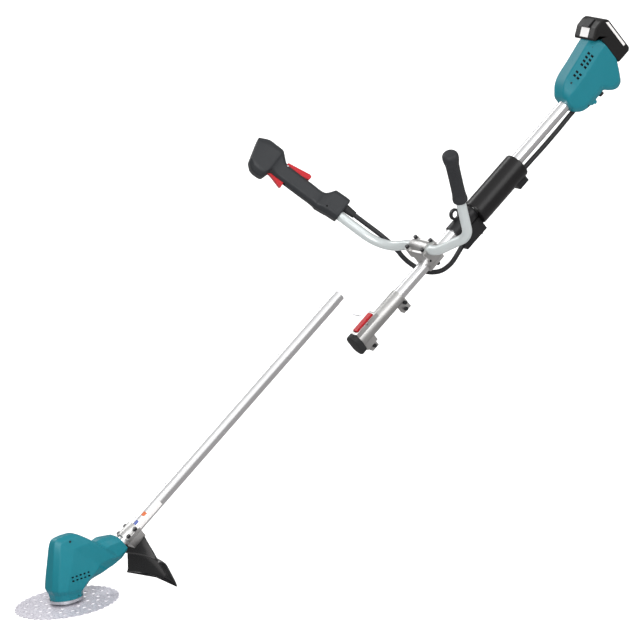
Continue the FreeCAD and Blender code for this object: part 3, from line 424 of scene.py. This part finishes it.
# each row: front or top edge (t, w), rear or under edge (t, w), half width, how flat-sided
head_stations = [
    (-35.5, 14, 36.5, 14, 36, 0.0), (-36, 22, 37.5, 21, 36.5, 0.1),
    (-36.5, 28, 38.5, 25, 36.8, 0.35), (-39.5, 38, 42, 30, 37.4, 1), (-38.5, 46, 47, 34, 37.5, 1),
    (-36.5, 56, 54, 39, 37.5, 1), (-31.5, 78, 67, 42.5, 36.5, 1), (-24.5, 104, 84, 45, 34.5, 1),
    (-17.5, 130, 99, 47.5, 29.5, 1), (-10, 144, 105, 48.5, 26, 1), (2, 147.5, 111, 50, 25.5, 1),
    (20, 148.5, 119, 52, 25.5, 1), (43, 145.5, 127, 54.5, 25, 1), (70, 128, 133, 57, 25, 1),
    (87, 113, 138, 59.5, 26, 1), (92, 114.5, 140, 60.5, 27.5, 1), (104, 117.5, 143, 62, 28, 1),
    (121, 116, 149, 66, 27.5, 1), (139.5, 113.6, 162, 76, 25, 1)]
flat_section = rounded([
    (1, 0.36), (0.84, 0.74), (0.42, 1.0), (-0.60, 1.0), (-1, 0.60), (-1, -0.60), (-0.60, -1.0),
    (0.42, -1.0), (0.84, -0.74), (1, -0.36)], 0.05)


def body_rings(stations, section, count, place):
    """Rings between two edge lines: the middle, half length and half width at each step carry a
    section that passes from a circle (0) to the flat-sided outline (1)."""
    rows = through(stations, count)
    front, rear = rows[:, 0:2], rows[:, 2:4]
    middle = (front + rear) / 2
    half = (front - rear) / 2
    angle = np.arctan2(section[:, 1], section[:, 0])
    circle = np.stack([np.cos(angle), np.sin(angle)], -1)
    flat = np.clip(rows[:, 5], 0, 1)[:, None, None]
    shape = circle * (1 - flat) + section * flat
    in_plane = middle[:, None] + half[:, None] * shape[..., :1]
    local = np.stack([in_plane[..., 0], rows[:, 4, None] * shape[..., 1], in_plane[..., 1]], -1)
    return place(local)


# The vent pockets' walls are painted near-black and matt: painted shade standing in for the dark
# inside of the housing seen through the vents.
vent_black = finish("vent_black", (0.004, 0.005, 0.006), 0.9)
head_rings = body_rings(head_stations, flat_section, 110, head_place)
head = skin("head_housing", head_rings, finishes["teal_shell"], "front_half", facet_sharp)
vent_pitch, vent_wide, vent_high = 10.5, 5.4, 3.6
vents = [((t, -40, w), (t + vent_wide, -30, w + vent_high))
         for w in (60.5, 52.5) for t in np.arange(5) * vent_pitch]
vents += [((12, -40, 16), (14.5, -30, 19.5))]
carve(head, vents, head_place, vent_black)
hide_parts("head_housing_left", "head_housing_right")

# ---------------------------------------------------------------- housing at the battery end
# Two screwed nylon shells hold the controller and the battery's rails.  A blunt nose clamps the
# tube, the roof climbs to the battery with bevelled sides, and a lobe hangs down in front of it.
rear_place = frame_rows((0, 0, -axis_drop), (1, 0, 0), (0, 1, 0), (0, 0, 1))
# each row: x, roof, underside, half width, width of the roof's flat, how far its bevel drops
housing_stations = [
    (371, 15, -14, 18, 12, 6), (372, 24, -20, 24, 14, 8), (377, 33, -26, 28, 16, 12),
    (386, 42, -32, 32, 18, 18), (396, 49, -34.5, 35, 18, 24), (408, 54, -35.5, 37, 18, 26),
    (424, 57.5, -36, 37, 18, 27), (440, 60, -35.5, 37, 18, 28), (456, 63, -35, 37, 18, 28),
    (466, 65, -45, 37, 18, 29), (478, 67.5, -55, 37, 18, 29), (490, 70, -58.5, 37, 18, 29),
    (502, 72, -54, 37, 18, 29), (513, 73, -36, 37, 18, 29), (523, 73, -16, 37, 18, 29)]
ring_list = []
for x, roof, under, half, flat, drop in through(housing_stations, 110):
    low = min(12.0, 0.22 * (roof - under))
    edge = rounded([
        (-half + 9, under), (-half + 1.5, under + low), (-half, under + low + 6),
        (-half, roof - drop), (-flat, roof), (flat, roof), (half, roof - drop),
        (half, under + low + 6), (half - 1.5, under + low), (half - 9, under)], 3.0)
    ring_list.append(np.column_stack([np.full(len(edge), x), edge]))
housing = skin("rear_housing", rear_place(np.array(ring_list)), finishes["teal_shell"],
               "rear_half", facet_sharp)
# the roof vents' walls take the same painted shade
roof_vents = [((x, y, 30), (x + 5.2, y + 3.6, 78))
              for x in (420, 430, 450, 460, 470, 480) for y in (-33.0, -27.5)]
carve(housing, roof_vents, rear_place, vent_black)
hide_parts("rear_housing_left", "rear_housing_right")

# the small hook under the nose: one side view carried across
hook_side = rounded([(409, -33), (428, -33), (427, -41), (421, -43.5), (419.5, -40), (411, -38)],
                    1.5)
hook_rings = np.array([
    np.column_stack([hook_side[:, 0], np.full(len(hook_side), y), hook_side[:, 1]])
    for y in (-28.0, -27.0, -19.0, -18.0)])
hook = skin("housing_hook", rear_place(hook_rings), finishes["teal_shell"], "rear_half")

# ---------------------------------------------------------------- battery pack
# A nylon case in two halves, with a slanted shoulder.  Its edges are rounded: the side outline is
# carried across and shrinks a little at both ends.
battery_black = finish("battery_black", (0.008, 0.0075, 0.0075), 0.40, grain=0.2)
battery_outline = rounded([
    (523.5, -12), (560, -12), (566, -6), (566, 82), (559, 91), (549, 94), (529, 92.5),
    (507, 78.5), (505, 73.6), (523.5, 73.6)], 3.0)
inner = np.array([545.0, 40.0])
# each row: place across, size of the outline there
battery_spans = [(-37.5, 0.955), (-37.0, 0.975), (-35.5, 0.993), (-33.0, 1.0), (33.0, 1.0),
                 (35.5, 0.993), (37.0, 0.975), (37.5, 0.955)]
ring_list = []
for y, size in battery_spans:
    outline = inner + (battery_outline - inner) * size
    ring_list.append(np.column_stack([outline[:, 0], np.full(len(outline), y), outline[:, 1]]))
battery = skin("battery_case", rear_place(np.array(ring_list)), battery_black, "battery", 30.0)
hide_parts("battery_case_outer", "battery_case_inner")

# ---------------------------------------------------------------- trigger handle
# Two nylon shells clamped round the right end of the bar: an oval grip with a boxy foot where the
# cable comes in, and a wedge-shaped head that keeps the hand off the end.
handle_corner = np.array([-133.6, 130.0, 30.8])
handle_along = unit([-0.0762, 0.5198, 0.851])
handle_out = unit(np.array([1.0, 0, 0]) - handle_along * handle_along[0])
handle_side = np.cross(handle_along, handle_out)
handle_from_corner = 124.0
handle_start = handle_corner + handle_along * handle_from_corner - (0, 0, axis_drop)
handle_place = frame_rows(handle_start, handle_out, handle_side, handle_along)
# each row as for the head: outer edge (t, w), inner edge (t, w), half width, how flat-sided
case_stations = [
    (37, -1, -13, 0, 15, 1), (41, 1, -15.6, 1, 17.5, 1), (42, 5, -16.2, 5, 18.6, 1),
    (42, 12, -16.6, 11, 19, 1), (41.5, 24, -17.5, 24, 19, 1), (41, 36, -19.5, 36, 19, 1),
    (39, 40.5, -20, 41, 19, 1), (24, 52, -22, 54, 18, 0.8), (20, 64, -20.6, 64, 16, 0.5),
    (20.5, 90, -20.6, 90, 16, 0.45), (20.5, 120, -20.6, 120, 16, 0.45),
    (20.8, 148, -20.6, 148, 16, 0.5), (22, 163, -20.6, 166, 16, 0.6),
    (36, 180, -21, 182, 19, 0.9), (41, 188, -38, 188.5, 22, 1), (41.5, 206, -42.3, 198, 23, 1),
    (41, 226, -41, 218, 22.5, 1), (31, 248, -30, 232, 20, 1)]
case_section = rounded([
    (1, 0.55), (0.70, 1.0), (-0.70, 1.0), (-1, 0.55), (-1, -0.55), (-0.70, -1.0), (0.70, -1.0),
    (1, -0.55)], 0.16)
case_rings = body_rings(case_stations, case_section, 80, handle_place)
case = skin("trigger_case", case_rings, finishes["charcoal_shell"], "rear_half", 35.0)
trigger_slot = ((-52, -7.2, 139), (-12, 7.2, 187.5))
lock_slot = ((12.6, -5.7, 96), (52, 5.7, 167))
screw_hole = ((-7.2, -30, 32.9), (-3.4, -14, 36.7))
carve(case, [trigger_slot, lock_slot, screw_hole], handle_place, finishes["black_plastic"])
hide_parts("trigger_case_left", "trigger_case_right")

# ---------------------------------------------------------------- guard
# One moulding of tough plastic: a flap that falls from the bracket, a step, then a wider skirt with
# a turned rim.  Each level is an arc across the machine; it bows back more towards the ground.
# each row: height w, how far back t, its two sides y, how far the arc bows
guard_levels = [
    (108, 207, -13, 25, 1), (96, 206, -26, 35, 2), (84, 205, -42, 45, 4), (70, 204, -64, 50, 7),
    (58, 203, -80, 51, 9), (52, 203.5, -88, 51, 10), (50, 210, -93, 52, 11),
    (47, 214, -98, 52.5, 12), (40, 215.5, -107, 53, 14), (26, 216.5, -122, 53, 17),
    (12, 216, -137, 53, 19), (6, 214.5, -144, 53, 20), (4, 212, -145, 53, 20)]
guard_steps, guard_columns, guard_wall = 90, 49, 2.8
w, t, left, right, bow = through(guard_levels, guard_steps).T[..., None]
share = np.linspace(-1, 1, guard_columns)[None, :]
guard_points = np.stack([t - bow * share ** 2, (left + right) / 2 + (right - left) / 2 * share,
                         np.broadcast_to(w, (guard_steps, guard_columns))], -1)
outward = np.cross(np.gradient(guard_points, axis=0), np.gradient(guard_points, axis=1))
outward /= np.linalg.norm(outward, axis=-1, keepdims=True)
inner_points = guard_points - outward * guard_wall
guard_rings = np.concatenate([guard_points, inner_points[:, ::-1]], 1)
guard = skin("guard_skirt", head_place(guard_rings), finishes["guard_plastic"], "front_half",
             50.0)
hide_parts("guard")

# ---------------------------------------------------------------- left grip
# A rubber sleeve pushed on the bar end: fine rings round its waist and a flare at either end.
grip_corner = np.array([-66.7, -150.0, 53.5 - axis_drop])
grip_aim = unit([0.2045, -0.343, 0.917])
grip_from_corner = 106
grip_x = unit(np.cross(grip_aim, (0, 1, 0)))
grip_place = frame_rows(grip_corner + grip_aim * grip_from_corner, grip_x,
                        np.cross(grip_aim, grip_x), grip_aim)


def turned_piece(name, profile, turns, place, material, body, sharp=30.0):
    """A solid of revolution: each (radius, height) becomes a ring of turns points."""
    radius, height = np.array(profile, float).T[..., None]
    angle = np.linspace(0, 2 * math.pi, turns, endpoint=False)
    rings = np.stack([radius * np.cos(angle), radius * np.sin(angle),
                      np.broadcast_to(height, (len(profile), turns))], -1)
    return skin(name, place(rings), material, body, sharp)


grip_shape = through([
    (14, 0), (16.6, 2.5), (17, 7), (16.4, 13), (15.1, 23), (14.8, 45), (14.8, 72), (15, 96),
    (16, 110), (18, 121), (18.6, 129), (17.4, 136), (12.5, 141), (4, 142)], 240)
rib_low, rib_high, rib_fade = 14, 108, 4
rib_pitch, rib_height = 4.2, 0.35
ribbed = np.minimum(grip_shape[:, 1] - rib_low, rib_high - grip_shape[:, 1]) / rib_fade
waves = np.sin(grip_shape[:, 1] * 2 * math.pi / rib_pitch)
grip_shape[:, 0] += rib_height * np.clip(ribbed, 0, 1) * waves
left_grip = turned_piece("left_grip_sleeve", grip_shape, 56, grip_place, finishes["grip_rubber"],
                         "rear_half", 60.0)
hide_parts("left_grip")

# ---------------------------------------------------------------- hip pad
# A sleeve of closed-cell foam with a smooth skin, slid over the tube and hanging a little low on
# it; its ends are rounded and dished.
pad_start, pad_low = 38, 9.0
pad_place = frame_rows((pad_start, 0, -axis_drop - pad_low), (0, 1, 0), (0, 0, 1), (1, 0, 0))
pad_shape = [
    (24, 1.4), (27, 0.3), (28.9, 0.8), (30.1, 2.6), (30.3, 6), (30.3, 40), (30.25, 78),
    (30.3, 116), (30.3, 149), (30.1, 152.4), (28.9, 154.2), (27, 154.7), (24, 153.6)]
hip_pad = turned_piece("hip_pad_sleeve", pad_shape, 96, pad_place, finishes["pad_foam"],
                       "rear_half", 40.0)
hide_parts("hip_pad")


# ---------------------------------------------------------------- rounded edges
# The clamp, coupling and guard saddle are die castings; the clips, the foot and the socket's cap
# are moulded.  Their CAD shapes stand here again with every edge broken by a small round.
weld_gap = 0.00001
flat_enough = 0.02
corner_least = math.radians(35)


def rounded_copy(nodes, body, slot, radius):
    """A copy of each CAD node with its edges rounded by a narrow bevel, in that node's place."""
    for node in nodes:
        mesh = frame["nodes"][node].data.copy()
        mesh.transform(frame["nodes"][node].matrix_world)
        mesh.materials.clear()
        mesh.materials.append(finishes[slot])
        work = bmesh.new()
        work.from_mesh(mesh)
        bmesh.ops.remove_doubles(work, verts=work.verts, dist=weld_gap)
        bmesh.ops.dissolve_limit(work, angle_limit=flat_enough, verts=work.verts, edges=work.edges)
        work.to_mesh(mesh)
        work.free()
        mesh.polygons.foreach_set("use_smooth", [True] * len(mesh.polygons))
        copy = stand(node + "_cast", mesh)
        edge = copy.modifiers.new("edge", "BEVEL")
        edge.width = radius * MM
        edge.segments = 3
        edge.limit_method = "ANGLE"
        edge.angle_limit = corner_least
        edge.harden_normals = True
        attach(copy, body)
        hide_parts(node)


rounded_copy(["coupling_body", "handle_clamp_body", "handle_clamp_cap", "handle_clamp_base"],
             "rear_half", "cast_metal", 1.4)
rounded_copy(["guard_bracket_upper", "guard_bracket_lower"], "front_half", "cast_metal", 1.2)
rounded_copy(["socket_cap"], "socket_cap", "black_rubber", 2.5)
rounded_copy(["pad_clip_front", "pad_clip_rear", "housing_foot"], "rear_half", "black_plastic",
             2.2)


# ---------------------------------------------------------------- blank stickers
# Paper labels without words: one on the battery's shoulder, one along its side and three on the
# front tube, a long pale one and two short coloured ones.
def sticker(name, corners, lift, place, material, body):
    """A thin plate between four corners, standing lift millimetres off the surface beneath it."""
    corners = np.array(corners, float)
    normal = unit(np.cross(corners[1] - corners[0], corners[3] - corners[0]))
    rings = np.stack([corners, corners + normal * lift])
    plate = skin(name, place(rings), material, body)


paper = {"grain": 0.1, "grain_scale": 1500.0}
pale_paper = finish("pale_paper", (0.80, 0.78, 0.77), 0.45, **paper)
orange_paper = finish("orange_paper", (0.62, 0.16, 0.06), 0.45, **paper)
blue_paper = finish("blue_paper", (0.12, 0.16, 0.42), 0.45, **paper)
label_over, label_under = 14.25, 14.03
sticker("shoulder_label",
        [(508.2, 15, 79.7), (508.2, -15, 79.7), (526.5, -15, 91.3), (526.5, 15, 91.3)],
        0.5, rear_place, pale_paper, "battery")


def tube_sticker(name, start, run, low, high, material):
    """A band of paper round part of the front tube, from the low to the high angle in degrees."""
    angle = np.radians(np.linspace(low, high, 16))
    arc = np.stack([np.cos(angle), np.sin(angle)], -1)
    ring = np.concatenate([arc * label_over, arc[::-1] * label_under])
    rings = np.array([np.column_stack([ring, np.full(len(ring), along)])
                      for along in (start, start + run)])
    band = skin(name, front_place(rings), material, "front_half", 40.0)


tube_sticker("tube_label", -1086, 84, 147, 200, pale_paper)
tube_sticker("tube_label_orange", -1052, 11, 112, 145, orange_paper)
tube_sticker("tube_label_blue", -1082, 15, 112, 140, blue_paper)
sticker("side_label",
        [(556, -37.45, 83), (556, -37.45, 8), (562, -37.45, 8), (562, -37.45, 79)],
        0.35, rear_place, pale_paper, "battery")
